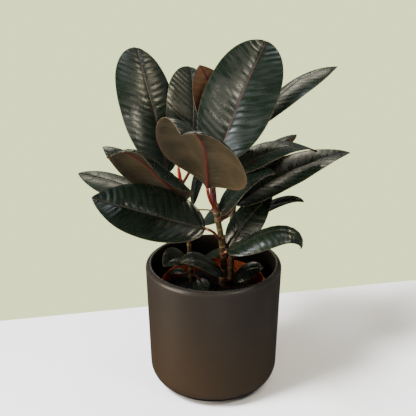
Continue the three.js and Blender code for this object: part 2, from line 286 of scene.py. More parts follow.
NURSERY_GAP = 0.3
NURSERY_FLOOR = POT_FLOOR + NURSERY_GAP
NURSERY_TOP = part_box("nursery_pot")[1].z / MM
NURSERY_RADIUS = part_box("nursery_pot")[1].x / MM
NURSERY_TAPER = 15.4
NURSERY_FOOT = NURSERY_RADIUS - NURSERY_TAPER
NURSERY_BAND = 12
NURSERY_LIP = 1.4
NURSERY_WALL = 1.8
NURSERY_STEPS = 120
DRAIN_SLOTS = 6
DRAIN_RING = (29, 39)
SLOT_HALF_ANGLE = 8
# Heights in metres between which the soil's stain on the plastic fades out.
STAIN = (0.150, 0.158)

band_bottom = NURSERY_TOP - NURSERY_BAND
nursery_profile = [
    (0, NURSERY_FLOOR),
    (DRAIN_RING[0], NURSERY_FLOOR),
    (DRAIN_RING[1], NURSERY_FLOOR),
    (NURSERY_FOOT, NURSERY_FLOOR),
    (NURSERY_RADIUS - NURSERY_LIP, band_bottom),
    (NURSERY_RADIUS - 0.3, band_bottom),
    (NURSERY_RADIUS, band_bottom + 0.4),
    *arc(NURSERY_RADIUS - NURSERY_LIP, NURSERY_TOP - NURSERY_LIP, NURSERY_LIP, 0, 90, 4),
    *arc(NURSERY_RADIUS - NURSERY_WALL, NURSERY_TOP - NURSERY_LIP, NURSERY_LIP, 95, 180, 4),
    (NURSERY_RADIUS - NURSERY_WALL - NURSERY_LIP, band_bottom),
    (NURSERY_FOOT - NURSERY_WALL, NURSERY_FLOOR + NURSERY_WALL),
    (DRAIN_RING[1], NURSERY_FLOOR + NURSERY_WALL),
    (DRAIN_RING[0], NURSERY_FLOOR + NURSERY_WALL),
    (0, NURSERY_FLOOR + NURSERY_WALL),
]
nursery = turned(nursery_profile, NURSERY_STEPS)
slot_pitch = 360 / DRAIN_SLOTS
slot_faces = []
for face in nursery.faces:
    middle = face.calc_center_median()
    turn = math.degrees(math.atan2(middle.y, middle.x)) % slot_pitch
    in_slot = min(turn, slot_pitch - turn) < SLOT_HALF_ANGLE
    in_ring = DRAIN_RING[0] < middle.xy.length / MM < DRAIN_RING[1]
    if in_ring and in_slot and abs(face.normal.z) > 0.9:
        slot_faces.append(face)
bmesh.ops.delete(nursery, geom=slot_faces, context="FACES")
open_edges = [edge for edge in nursery.edges if edge.is_boundary]
for k in range(DRAIN_SLOTS):
    turn = 2 * math.pi * k / DRAIN_SLOTS
    way = Vector((math.cos(turn), math.sin(turn)))
    near = [e for e in open_edges if (e.verts[0].co.xy.normalized() - way).length < 0.3]
    bmesh.ops.bridge_loops(nursery, edges=near)
bmesh.ops.recalc_face_normals(nursery, faces=nursery.faces[:])

plastic = Finish("terracotta_plastic")
place = object_place(plastic)
height = plastic.node("ShaderNodeSeparateXYZ", {}, {"Vector": place}, output=2)
scuffs = clouds(plastic, object_place(plastic, (1, 1, 0.2)), 160, 5, 0.65)
colour = blend(plastic, step(plastic, scuffs, 0.4, 0.7), rgb(166, 74, 42), rgb(186, 92, 56))
grime = step(plastic, clouds(plastic, place, 220, 4), 0.4, 0.6)
soiled = (1 - step(plastic, height, *STAIN)) * grime
colour = blend(plastic, soiled * 0.8, colour, rgb(52, 30, 20))
rings = plastic.node(
    "ShaderNodeTexWave",
    {"wave_type": "BANDS", "bands_direction": "Z"},
    {"Vector": place, "Scale": 160, "Distortion": 0.6},
    output=1,
)
plastic_finish = surface(
    plastic,
    Base_Color=colour,
    Roughness=0.42 + scuffs * 0.2,
    Normal=bump(plastic, rings + scuffs, 0.0001, 0.5),
)
piece("nursery_pot_moulded", nursery, ["nursery_pot"], [plastic_finish])

# ---- Soil ----
# Dark potting mix, heaped a little in the middle and settled at the wall, with loose
# crumbs and chips of bark lying on it.

SOIL_BELOW_RIM = 14.5
SOIL_LEVEL = NURSERY_TOP - SOIL_BELOW_RIM
SOIL_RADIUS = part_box("soil")[1].x / MM
SOIL_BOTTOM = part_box("soil")[0].z / MM
SOIL_TAPER = 14
SOIL_STEPS = 150
SOIL_RINGS = 34
# The crust, in millimetres: how far its edge lies under the level, how far it is heaped in
# the middle, how wide and high its lumps are, and how far it has settled at the wall and
# from what share of the radius.
CRUST_SINK = 1.2
SOIL_CROWN = 2
LUMP_WIDTH = 9
LUMP_HEIGHT = 1.1
SETTLED = 2.5
SETTLED_FROM = 0.85
# Loose lumps: how many, their smallest and largest radius, and how flat they are.
SOIL_SEED = 41
CRUMBS = (520, 0.7, 2.3, 0.75)
CHIPS = (70, 0.8, 2.6, 0.4)
CLEAR_OF_WALL = 6
ANY_TURN = 6.28
LUMP_CREASE = 0.4


def soil_height(x, y):
    """Height of the soil's crust at a place, all in millimetres."""
    reach = math.hypot(x, y) / SOIL_RADIUS
    lumps = noise.fractal(Vector((x / LUMP_WIDTH, y / LUMP_WIDTH, 3.7)), 0.8, 2.1, 5)
    crown = SOIL_CROWN * (1 - reach * reach)
    settled = SETTLED * max(0, reach - SETTLED_FROM) / (1 - SETTLED_FROM)
    return SOIL_LEVEL - CRUST_SINK + crown + LUMP_HEIGHT * lumps - settled


soil_profile = [(0, SOIL_LEVEL)]
soil_profile += [(SOIL_RADIUS * k / SOIL_RINGS, SOIL_LEVEL) for k in range(1, SOIL_RINGS)]
soil_profile += [(SOIL_RADIUS - 0.4, SOIL_LEVEL), (SOIL_RADIUS - SOIL_TAPER, SOIL_BOTTOM)]
soil_profile += [(0, SOIL_BOTTOM)]
soil = turned(soil_profile, SOIL_STEPS)
for vert in soil.verts:
    if vert.co.z > (SOIL_LEVEL - 1) * MM:
        vert.co.z = soil_height(vert.co.x / MM, vert.co.y / MM) * MM

earth = Finish("potting_mix")
place = object_place(earth)
grain = clouds(earth, place, 380, 8, 0.7)
colour = blend(earth, step(earth, grain, 0.42, 0.7), rgb(9, 7, 5), rgb(32, 23, 17))
cells = earth.node(
    "ShaderNodeTexVoronoi", {"feature": "F1"}, {"Vector": place, "Scale": 260, "Randomness": 1.0}
)
colour = blend(earth, (1 - step(earth, cells, 0.1, 0.16)) * 0.7, colour, rgb(62, 48, 34))
damp = bump(earth, grain + cells * 0.5, 0.0016, 0.9)
earth_finish = surface(earth, Base_Color=colour, Roughness=0.93 - grain * 0.1, Normal=damp)
piece("soil_crust", soil, ["soil"], [earth_finish])

chance = random.Random(SOIL_SEED)


def scattered(count, smallest, largest, flatten):
    """Loose lumps lying on the soil, clear of the pot's wall."""
    bm = bmesh.new()
    for _ in range(count):
        reach = (SOIL_RADIUS - CLEAR_OF_WALL) * math.sqrt(chance.random())
        turn = chance.uniform(0, 2 * math.pi)
        x, y = reach * math.cos(turn), reach * math.sin(turn)
        size = chance.uniform(smallest, largest)
        lump = Matrix.Translation(Vector((x, y, soil_height(x, y) + 0.3 * size)) * MM)
        lump @= Matrix.Rotation(chance.uniform(0, ANY_TURN), 4, "Z")
        lump @= Matrix.Rotation(chance.uniform(-0.5, 0.5), 4, "X")
        lump @= Matrix.Diagonal((1, chance.uniform(0.5, 0.9), flatten, 1))
        made = bmesh.ops.create_icosphere(bm, subdivisions=1, radius=size * MM, matrix=lump)
        for vert in made["verts"]:
            vert.co += Vector([chance.uniform(-0.18, 0.18) * size * MM for _ in range(3)])
    return bm


crumb_finish = Finish("crumbs")
grain = clouds(crumb_finish, object_place(crumb_finish), 500, 6, 0.7)
share = step(crumb_finish, grain, 0.35, 0.7)
crumb_surface = surface(
    crumb_finish,
    Base_Color=blend(crumb_finish, share, rgb(13, 9, 7), rgb(42, 30, 21)),
    Roughness=0.9 - grain * 0.1,
    Normal=bump(crumb_finish, grain, 0.0008, 0.8),
)
piece("soil_crumbs", scattered(*CRUMBS), [], [crumb_surface], sharp=LUMP_CREASE)

chip_finish = Finish("bark_chips")
fibre = clouds(chip_finish, object_place(chip_finish, (1, 0.25, 1)), 600, 5, 0.6)
share = step(chip_finish, fibre, 0.35, 0.65)
chip_surface = surface(
    chip_finish,
    Base_Color=blend(chip_finish, share, rgb(46, 31, 20), rgb(98, 76, 52)),
    Roughness=0.8 - fibre * 0.1,
    Normal=bump(chip_finish, fibre, 0.0006, 0.7),
)
piece("soil_bark_chips", scattered(*CHIPS), [], [chip_surface], sharp=LUMP_CREASE)

# ---- Stems ----
# Three woody shoots from one root ball. Low down they are brown and fissured; higher up
# they are smooth and olive, ringed with a pale scar wherever a leaf has grown.

# Radius, then the axis as x, y and height above the soil, and the heights of old leaf scars.
STEMS = {
    "left": {
        "radius": 3.4,
        "axis": [
            (-33, 26, 0),
            (-35, 24, 37),
            (-37, 21, 74),
            (-41, 20, 114),
            (-46, 20, 152),
            (-48, 20, 168),
        ],
        "scars": [22, 46, 63, 80, 96, 135],
        "young": 60,
    },
    "main": {
        "radius": 4.8,
        "axis": [(14, 8, 0), (15, 5, 43), (11.5, 2, 80), (7, 0, 108), (1, 0, 140)],
        "scars": [30, 41, 69, 98],
        "young": 62,
    },
    "right": {
        "radius": 4.0,
        "axis": [
            (26, 28, 0),
            (27, 29, 41),
            (27, 37, 82),
            (31, 47, 122),
            (34, 55, 157),
            (33, 60, 180),
        ],
        "scars": [22, 54, 68, 110, 126, 140],
        "young": 70,
    },
}

# The shape of a stem, in millimetres: how much it thickens towards its foot and up to what
# height, and thins towards its tip; the swelling round its foot, at each leaf's node and at
# each old scar, as height and spread; and how uneven its wood is, up to what height.
FOOT_FLARE = 0.28
FLARE_HEIGHT = 45
TIP_TAPER = 0.1
COLLAR = (0.9, 7)
COLLAR_AT = 3
NODE_SWELLING = (0.55, 2.6)
SCAR_SWELLING = (0.3, 1.1)
UNEVEN = 0.35
UNEVEN_HEIGHT = 70
TOP_SHARE = 0.7
# A pale ring lies a little above each node and scar. The wood turns from brown to olive
# over one height, starting below the place where it is young, and to red below the tip.
RING_ABOVE = 1.6
RING_SPREAD = 0.8
GREENING_BELOW = 22
GREENING = 34
REDDENING = 22
FISSURE_DEPTH = 0.5
FISSURES_TO_A_METRE = 380
FISSURED_HEIGHT = 75
STEM_DEPTH = 8
STEM_PIECES = 42
STEM_SIDES = 22

# Leaves, numbered up each stem, as millimetres and degrees, one row each: height of its
# node on the stem; where the blade starts, its height above the soil; length and width;
# compass angle and slope of the midrib; how far the slope drops by the tip and the power
# that leaves the drop for the tip; how far the compass angle turns by the tip; tilt at
# the base and how much more by the tip; slope of each half beside the midrib, its bend
# towards the margin and the extra bend close to the left and the right margin; and how
# blunt the tip is.
LEAF_ROWS = {
    "left": [
        (9, -42, 25, 14, 28, 16, 181, 23, 64, 1.3, 0, -6, 3, 16, -9, 0, 0, 0),
        (12, -22, 6, 14, 32, 26, -75, -5, 20, 1.3, 0, 10, 0, 8, -30, 0, 0, 0),
        (30, -38, 11, 43, 62, 37, 233, 34, 64, 1.9, 2, -29, -5, 20, -18, 0, 0, 0),
        (111, -63, 27, 124, 153, 87, 164, 21, 19, 1.3, -5, 9, -11, 7, -29, 0, 0, 0),
        (122, -41, 6, 141, 203, 96, 217, 46, 57, 3.7, 33, 29, -33, 32, -89, -99, -17, 0),
        (147, -68, 49, 167, 207, 104, 128, 74, 46, 1.3, -23, 13, 4, 4, -33, 0, 0, 1),
        (159, -33, 52, 178, 188, 98, 84, 44, 17, 1.3, 14, 19, 3, 14, 0, 0, 0, 0.6),
    ],
    "main": [
        (16, 15, -8, 28, 81, 41, 201, 46, 66, 2.2, 4, -16, -4, 13, -32, 0, 0, 0),
        (52, 24, 2, 68, 102, 57, 22, 62, 31, 1.3, -4, 27, -11, 4, -24, 0, 0, 0),
        (58, 18, -34, 79, 134, 61, -4, 33, 146, 3.3, -4, 6, 4, 8, -62, 0, 0, 0),
        (84, -12, -50, 122, 164, 91, 182, 16, 4, 1.3, -16, -30, -5, 12, -8, 0, 0, 0),
        (112, 32, 9, 133, 188, 92, 19, 32, 28, 1.3, -7, 6, -8, 13, -19, 0, 0, 0),
        (116, 11, -7, 126, 103, 86, -4, 64, 53, 1.3, -11, 11, -11, 21, -37, 0, 0, 0.4),
        (124, -30, 29, 123, 84, 51, 166, 95, -20, 1.3, -10, 1, -11, 10, -8, 0, 0, 0),
        (134, 3, 14, 197, 203, 106, 50, 57, 22, 1.3, 12, 24, -2, 15, -11, 0, 0, 1),
        (136, -9, -45, 182, 215, 135, -88, 50, 55, 3.1, -23, -26, 10, 30, -95, 39, 23, 0),
    ],
    "right": [
        (5, 31, 13, 8, 53, 35, 3, 57, 78, 1.3, 0, 11, 14, 2, -31, 0, 0, 0),
        (38, 23, 38, 43, 60, 30, 142, -9, 45, 1.3, 0, -10, -7, 8, -32, 0, 0, 0),
        (82, 45, 44, 88, 105, 61, -13, 47, 46, 1.3, -8, 4, -8, 18, -34, 0, 0, 0),
        (95, 28, 50, 100, 83, 54, 129, -6, 49, 1.3, -2, -29, -6, 10, -21, 0, 0, 0),
        (152, 47, 69, 169, 146, 67, 52, 25, 57, 1.3, 5, -29, 2, 9, -27, 0, 0, 0),
        (157, 33, 26, 181, 127, 81, 12, 31, 61, 1.8, -6, 10, -25, 7, -10, 0, 0, 0.4),
        (170, 27, 64, 188, 143, 84, -45, 108, -22, 1.3, 4, -4, -11, 9, -26, 0, 0, 0.3),
        (174, 46, 67, 222, 199, 92, 32, 46, 53, 1.3, 5, -20, 8, 3, -34, 0, 0, 0),
    ],
}


def rounded_path(points, pieces):
    """A smooth line through the points, with so many pieces between each two."""
    ends = [2 * points[0] - points[1], *points, 2 * points[-1] - points[-2]]
    path = []
    for before, start, end, after in zip(ends, ends[1:], ends[2:], ends[3:]):
        for k in range(pieces):
            t = k / pieces
            leave, arrive = (end - before) / 2, (after - start) / 2
            path.append(
                start * (2 * t**3 - 3 * t**2 + 1)
                + leave * (t**3 - 2 * t**2 + t)
                + end * (3 * t**2 - 2 * t**3)
                + arrive * (t**3 - t**2)
            )
    return [*path, points[-1].copy()]


def swept(path, radii, sides, marks=None):
    """A round rod along a path, drawn out ring by ring and closed at both ends.

    Each radius goes with a point of the path. Marks are values that the finish reads,
    by name, one for each point.
    """
    bm = bmesh.new()
    layers = {name: bm.verts.layers.float.new(name) for name in marks or {}}
    ring = bmesh.ops.create_circle(bm, cap_ends=True, segments=sides, radius=1.0)["verts"]
    seat = Matrix.Identity(4)
    for k, (point, radius) in enumerate(zip(path, radii)):
        before, after = path[max(0, k - 1)], path[min(len(path) - 1, k + 1)]
        lean = Vector((0, 0, 1)).rotation_difference((after - before).normalized())
        new_seat = Matrix.LocRotScale(point, lean, Vector((radius, radius, radius)))
        if k:
            nearby = dict.fromkeys(edge for vert in ring for edge in vert.link_edges)
            edges = [e for e in nearby if e.verts[0] in ring and e.verts[1] in ring]
            grown = bmesh.ops.extrude_edge_only(bm, edges=edges)["geom"]
            ring = [g for g in grown if isinstance(g, bmesh.types.BMVert)]
        bmesh.ops.transform(bm, matrix=new_seat @ seat.inverted(), verts=ring)
        seat = new_seat
        for name, layer in layers.items():
            for vert in ring:
                vert[layer] = marks[name][k]
    bmesh.ops.contextual_create(bm, geom=[e for e in bm.edges if e.is_boundary])
    bmesh.ops.recalc_face_normals(bm, faces=bm.faces[:])
    return bm


def mark(finish, name):
    """A value that the mesh carries."""
    return finish.node("ShaderNodeAttribute", {"attribute_name": name}, output=2)


def hump(distance, spread):
    """1 in the middle of a swelling, and less the farther away."""
    return math.exp(-((distance / spread) ** 2))


bark = Finish("stem_bark")
place = object_place(bark)
ring, young = mark(bark, "ring"), mark(bark, "young")
fissures = clouds(bark, object_place(bark, (1, 1, 0.22)), 620, 6, 0.65)
patches = clouds(bark, place, 130, 4, 0.6)
old_wood = blend(bark, step(bark, patches, 0.38, 0.66), rgb(36, 24, 15), rgb(92, 70, 46))
old_wood = blend(bark, step(bark, fissures, 0.5, 0.68) * 0.8, old_wood, rgb(30, 20, 13))
green_wood = blend(bark, step(bark, patches, 0.35, 0.7), rgb(56, 46, 18), rgb(84, 68, 30))
green_wood = blend(bark, step(bark, fissures, 0.55, 0.75) * 0.45, green_wood, rgb(42, 32, 14))
wood = blend(bark, young, old_wood, green_wood)
wood = blend(bark, step(bark, young, 1.35, 1.7), wood, rgb(92, 40, 22))
wood = blend(bark, ring * 0.7, wood, rgb(140, 112, 72))
bark_finish = surface(
    bark,
    Base_Color=wood,
    Roughness=0.82 - step(bark, young, 0.2, 1.0) * 0.3,
    Normal=bump(bark, fissures, 0.0012, 0.8),
)

stem_paths = {}
for name, shape in STEMS.items():
    foot_x, foot_y, _ = shape["axis"][0]
    corners = [(foot_x, foot_y, -STEM_DEPTH), *shape["axis"]]
    path = rounded_path([Vector((x, y, SOIL_LEVEL + z)) for x, y, z in corners], STEM_PIECES)
    stem_paths[name] = path
    nodes = [row[0] for row in LEAF_ROWS[name]]
    top = shape["axis"][-1][2]
    radii, rings, youth = [], [], []
    for point in path:
        rise = point.z - SOIL_LEVEL
        flare = FOOT_FLARE * max(0, 1 - rise / FLARE_HEIGHT)
        radius = shape["radius"] * (1.0 + flare - TIP_TAPER * rise / top)
        swellings = [(COLLAR_AT, *COLLAR)]
        swellings += [(node, *NODE_SWELLING) for node in nodes]
        swellings += [(scar, *SCAR_SWELLING) for scar in shape["scars"]]
        radius += sum(swelling * hump(rise - at, spread) for at, swelling, spread in swellings)
        radius += UNEVEN * noise.noise(point / 6) * max(0.15, 1 - rise / UNEVEN_HEIGHT)
        radii.append(radius * MM if point is not path[-1] else radius * TOP_SHARE * MM)
        rings.append(
            max(hump(rise - at - RING_ABOVE, RING_SPREAD) for at in nodes + shape["scars"])
        )
        green = max(0.0, min(1.0, (rise - shape["young"] + GREENING_BELOW) / GREENING))
        youth.append(green + max(0, (rise - top + REDDENING) / REDDENING))
    stem = swept([p * MM for p in path], radii, STEM_SIDES, {"ring": rings, "young": youth})
    for vert in stem.verts:
        rough = max(0.12, 1 - (vert.co.z / MM - SOIL_LEVEL) / FISSURED_HEIGHT)
        crack = noise.noise(vert.co * FISSURES_TO_A_METRE) * FISSURE_DEPTH * rough * MM
        vert.co += vert.normal * crack
    piece(f"{name}_stem_bark", stem, [f"{name}_stem"], [bark_finish])

# ---- Growing tips ----
# The next leaf of each shoot, still rolled in its thin pointed sheath, which is burgundy
# with pale lines on the main shoot and bright red on the other two.

# Length, radius, compass angle and slope, and how bright a red the sheath is.
SHEATHS = {
    "left": (28, 2.8, 165, 78, 1.0),
    "main": (36, 3.6, 180, 74, 0.0),
    "right": (24, 2.8, 80, 70, 0.7),
}
# Each sits a little way down in its stem and bends round and upwards towards its point.
SHEATH_SEAT = 1.5
SHEATH_TURN = 18
SHEATH_LIFT = 6
SHEATH_STEPS = 30
SHEATH_SIDES = 24
# The seam of the rolled leaf: its turn along the sheath, its width and its depth.
SEAM_TURN = 1.6
SEAM_WIDTH = 0.22
SEAM_DEPTH = 0.35


def direction(azimuth, rise):
    """The way of a compass angle (0 = +X, 90 = +Y) and a slope, in degrees."""
    a, r = math.radians(azimuth), math.radians(rise)
    return Vector((math.cos(r) * math.cos(a), math.cos(r) * math.sin(a), math.sin(r)))


sheath = Finish("bud_sheath")
bright, along, seam = mark(sheath, "bright"), mark(sheath, "along"), mark(sheath, "seam")
streaks = clouds(sheath, object_place(sheath, (1, 1, 0.08)), 700, 4, 0.6)
skin = blend(sheath, bright, rgb(74, 22, 34), rgb(176, 26, 18))
skin = blend(sheath, step(sheath, streaks, 0.5, 0.72) * 0.6, skin, rgb(150, 108, 104))
skin = blend(sheath, seam * 0.75, skin, rgb(34, 10, 12))
skin = blend(sheath, step(sheath, along, 0.75, 1.0) * 0.5, skin, rgb(58, 16, 16))
sheath_finish = surface(
    sheath,
    Base_Color=skin,
    Roughness=0.34 + streaks * 0.16,
    Normal=bump(sheath, streaks, 0.0004, 0.6),
)

for name, (length, radius, azimuth, rise, red) in SHEATHS.items():
    root = stem_paths[name][-1] - direction(azimuth, rise) * SHEATH_SEAT
    shares = [k / SHEATH_STEPS for k in range(SHEATH_STEPS + 1)]
    path, radii = [], []
    for share in shares:
        way = direction(azimuth + SHEATH_TURN * share, rise + SHEATH_LIFT * share)
        path.append((root + way * (length + SHEATH_SEAT) * share) * MM)
        swell = (0.8 + 1.1 * share) if share < 0.2 else 1.02 * (1 - ((share - 0.2) / 0.8) ** 1.7)
        radii.append(max(0.12, radius * min(1.0, swell)) * MM)
    marks = {"bright": [red] * len(path), "along": shares, "seam": [0.0] * len(path)}
    bud = swept(path, radii, SHEATH_SIDES, marks)
    layer = bud.verts.layers.float["seam"]
    for vert in bud.verts:
        share = (vert.co - path[0]).length / (length * MM)
        spiral = math.atan2(vert.co.y - path[0].y, vert.co.x - path[0].x) + SEAM_TURN * share
        groove = hump(math.remainder(spiral, 2 * math.pi), SEAM_WIDTH)
        vert[layer] = groove
        vert.co -= vert.normal * groove * SEAM_DEPTH * MM
    piece(f"{name}_bud_sheath", bud, [f"{name}_bud"], [sheath_finish])

# ---- Leaf stalks ----
# A round fleshy stalk for each leaf, red-brown and a little swollen at both ends, that
# grows from its node on the stem and runs on into the midrib.

PETIOLE_RADIUS = 2.3
PETIOLE_MIN_RADIUS = 1.2
FULL_LENGTH = 180
# The stalk's radius beside its midrib's, its swelling at the stem and below the blade, as a
# share, where along it and how far it spreads.
STALK_SHARE = 0.94
STALK_FOOT = (0.34, 0, 0.12)
STALK_NECK = (0.1, 0.93, 0.05)
STALK_SEAT = 1.0
STALK_SLOPE = 25
STALK_RUN_ON = 1.5
STALK_STEPS = 24
STALK_SIDES = 14
LEAF_FIELDS = (
    "node x y z length width azimuth rise arch bow sweep roll twist fold cup "
    "curl_left curl_right blunt"
).split()
LEAVES = {
    f"{stem}_leaf_{k + 1}": {"stem": stem, **dict(zip(LEAF_FIELDS, row))}
    for stem, rows in LEAF_ROWS.items()
    for k, row in enumerate(rows)
}
# How red each stalk is, where it isn't the usual red-brown.
STALK_REDNESS = {"left_leaf_6": 1.0, "left_leaf_7": 0.25, "right_leaf_8": 0.7, "main_leaf_9": 0.25}

stalk = Finish("leaf_stalk")
red, along = mark(stalk, "red"), mark(stalk, "along")
streaks = clouds(stalk, object_place(stalk), 420, 4, 0.6)
skin = blend(stalk, red, rgb(78, 24, 18), rgb(168, 34, 20))
skin = blend(stalk, step(stalk, streaks, 0.45, 0.75) * 0.4, skin, rgb(124, 66, 42))
skin = blend(stalk, (1 - step(stalk, along, 0.0, 0.16)) * 0.55, skin, rgb(104, 72, 36))
collar = step(stalk, along, 0.9, 0.93) * (1 - step(stalk, along, 0.955, 0.985))
skin = blend(stalk, collar * 0.6, skin, rgb(176, 132, 92))
stalk_finish = surface(
    stalk,
    Base_Color=skin,
    Roughness=0.36 + streaks * 0.14,
    Normal=bump(stalk, streaks, 0.0004, 0.5),
)


def on_stem(stem, rise):
    """The stem's middle at a height above the soil, in millimetres."""
    path = stem_paths[stem]
    level = SOIL_LEVEL + rise
    above = next(k for k, point in enumerate(path) if point.z >= level)
    low, high = path[above - 1], path[above]
    return low.lerp(high, (level - low.z) / (high.z - low.z))


for name, leaf in LEAVES.items():
    thick = max(PETIOLE_MIN_RADIUS, PETIOLE_RADIUS * min(1, leaf["length"] / FULL_LENGTH))
    foot = on_stem(leaf["stem"], leaf["node"])
    base = Vector((leaf["x"], leaf["y"], SOIL_LEVEL + leaf["z"]))
    outward = Vector((base.x - foot.x, base.y - foot.y, 0)).normalized()
    along = direction(leaf["azimuth"], leaf["rise"])
    start = foot + outward * (STEMS[leaf["stem"]]["radius"] - STALK_SEAT)
    end = base + along * STALK_RUN_ON
    third = (end - start).length / 3
    slope = math.radians(STALK_SLOPE)
    leaving = outward * math.cos(slope) + Vector((0, 0, math.sin(slope)))
    handles = [start, start + leaving * third, end - along * third, end]
    path, radii, shares = [], [], []
    for k in range(STALK_STEPS + 1):
        t = k / STALK_STEPS
        weights = ((1 - t) ** 3, 3 * t * (1 - t) ** 2, 3 * t * t * (1 - t), t**3)
        path.append(sum((h * w for h, w in zip(handles, weights)), Vector()) * MM)
        swell = 1
        for much, at, spread in (STALK_FOOT, STALK_NECK):
            swell += much * hump(t - at, spread)
        radii.append(thick * STALK_SHARE * swell * MM)
        shares.append(t)
    redness = STALK_REDNESS.get(name, 0.0)
    rod = swept(path, radii, STALK_SIDES, {"along": shares, "red": [redness] * len(path)})
    piece(f"{name}_stalk", rod, [name.replace("leaf", "petiole")], [stalk_finish])

# ---- Leaf blades ----
# Thick leathery blades, glossy near-black green above and matt olive-brown below. Each has
# a red midrib that stands out as a keel underneath, side veins sunk into the face, and a
# fine pale line round its margin.

BLADE_THICKNESS = 1.2
MARGIN_THICKNESS = 0.7
KEEL_DEPTH = 2.8
KEEL_TIP_DEPTH = 1.4
BLADE_WIDEST = 0.45
SPINE_STEPS = 50
ROWS_TO_A_VEIN = 6
# Places across each half of the blade where its mesh has a line of corners.
ACROSS = (0, 0.018, 0.045, 0.1, 0.18, 0.28, 0.39, 0.5, 0.61, 0.72, 0.82, 0.9, 0.95, 0.98, 0.995, 1)
# Side veins: how many millimetres of midrib there are to a pair, the fewest pairs on a leaf,
# and how far they slant towards the tip.
VEIN_PITCH = 11
FEWEST_VEINS = 9
VEIN_SLANT = 0.34
VEIN_WANDER = 0.22
# How high the face stands between two veins, how long a leaf is that stands so high, and
# the share of it on a nearly flat leaf.
PUFF = 0.42
PUFFED_LENGTH = 170
FLAT_SHARE = 0.3
# The groove over the midrib, the keel's width, and the slow swells of the whole face.
GROOVE = 0.45
GROOVE_WIDTH = 1.6
KEEL_WIDTH = 2.3
SWELL = 1.1
SWELL_WIDTH = 34
SWELL_LENGTH = 150
# Steps in which the slope across a half blade is added up.
CUP_STEPS = 12
# Leaves whose faces are nearly flat between their veins.
FLAT_LEAVES = {
    "left_leaf_4",
    "main_leaf_2",
    "main_leaf_5",
    "right_leaf_5",
    "right_leaf_6",
    "right_leaf_8",
}
# What differs from leaf to leaf: how grey the face is, partly its own colour and partly a painted
# sheen where a leaf catches light at a grazing angle, how red the midrib shows on it, and how warm
# the under face is, from olive to rust.
LEAF_LOOKS = {
    "left_leaf_1": (0.5, 0.1, 0.3),
    "left_leaf_2": (0.45, 0.1, 0.3),
    "left_leaf_3": (0.45, 0.1, 0.3),
    "left_leaf_4": (0.75, 0.5, 0.4),
    "left_leaf_5": (0.2, 0.6, 0.3),
    "left_leaf_6": (0.4, 1.0, 0.4),
    "left_leaf_7": (0.5, 0.8, 0.4),
    "main_leaf_1": (0.25, 0.15, 0.3),
    "main_leaf_2": (0.0, 0.3, 0.3),
    "main_leaf_3": (0.3, 0.1, 0.3),
    "main_leaf_4": (0.0, 0.25, 0.3),
    "main_leaf_5": (0.3, 0.6, 0.4),
    "main_leaf_6": (0.35, 0.5, 0.4),
    "main_leaf_7": (0.35, 0.5, 0.4),
    "main_leaf_8": (0.4, 1.0, 0.3),
    "main_leaf_9": (0.25, 0.8, 0.3),
    "right_leaf_1": (0.2, 0.1, 0.3),
    "right_leaf_2": (0.9, 0.1, 0.3),
    "right_leaf_3": (0.25, 0.2, 0.3),
    "right_leaf_4": (0.25, 0.2, 0.3),
    "right_leaf_5": (0.35, 0.5, 0.5),
    "right_leaf_6": (0.35, 0.5, 0.5),
    "right_leaf_7": (0.2, 0.8, 1.0),
    "right_leaf_8": (0.35, 0.7, 0.5),
}


def vein_lines(finish):
    """The side veins as a signal: 1 on a vein and 0 between two."""
    phase = mark(finish, "vein")
    saw = finish.node("ShaderNodeMath", {"operation": "FRACT"}, {0: phase})
    return 1 - step(finish, 0.5 - abs(saw - 0.5), 0.02, 0.16)


face = Finish("leaf_face")
place = object_place(face)
mid, edge, along = mark(face, "mid"), mark(face, "edge"), mark(face, "along")
tone, blush = mark(face, "tone"), mark(face, "blush")
veins = vein_lines(face)
bloom = clouds(face, place, 26, 4, 0.6)
skin = blend(face, step(face, bloom, 0.3, 0.7), rgb(9, 22, 15), rgb(19, 32, 22))
# Grey-green over the face: partly the leaf's own colour, partly a painted sheen of grazing light.
skin = blend(face, tone * 0.5, skin, rgb(38, 54, 40))
skin = blend(face, veins * 0.08, skin, rgb(40, 54, 38))
skin = blend(face, (1 - step(face, edge, 0.0004, 0.0016)) * 0.45, skin, rgb(76, 70, 54))
rib = 1 - step(face, mid - (1 - along) * 0.0006, 0.0005, 0.0012)
rib_colour = blend(face, blush, rgb(50, 54, 40), rgb(72, 44, 40))
skin = blend(face, rib * 0.8, skin, rib_colour)
specks = face.node("ShaderNodeTexVoronoi", {"feature": "F1"}, {"Vector": place, "Scale": 190})
dust = (1 - step(face, specks, 0.05, 0.085)) * step(face, clouds(face, place, 60, 2), 0.55, 0.62)
skin = blend(face, dust * 0.5, skin, rgb(170, 170, 158))
phase = mark(face, "vein")
ripple = face.node("ShaderNodeCombineXYZ", {}, {"X": phase * 1.3, "Y": mid * 34, "Z": along * 6})
streak = clouds(face, ripple, 1.0, 3, 0.55)
face_finish = surface(
    face,
    Base_Color=skin,
    Roughness=0.15
    + step(face, streak, 0.36, 0.64) * 0.17
    + step(face, bloom, 0.25, 0.75) * 0.08
    + veins * 0.1
    + tone * 0.08
    + dust * 0.2,
    Normal=bump(face, streak - veins * 0.2, 0.0004, 0.3),
)

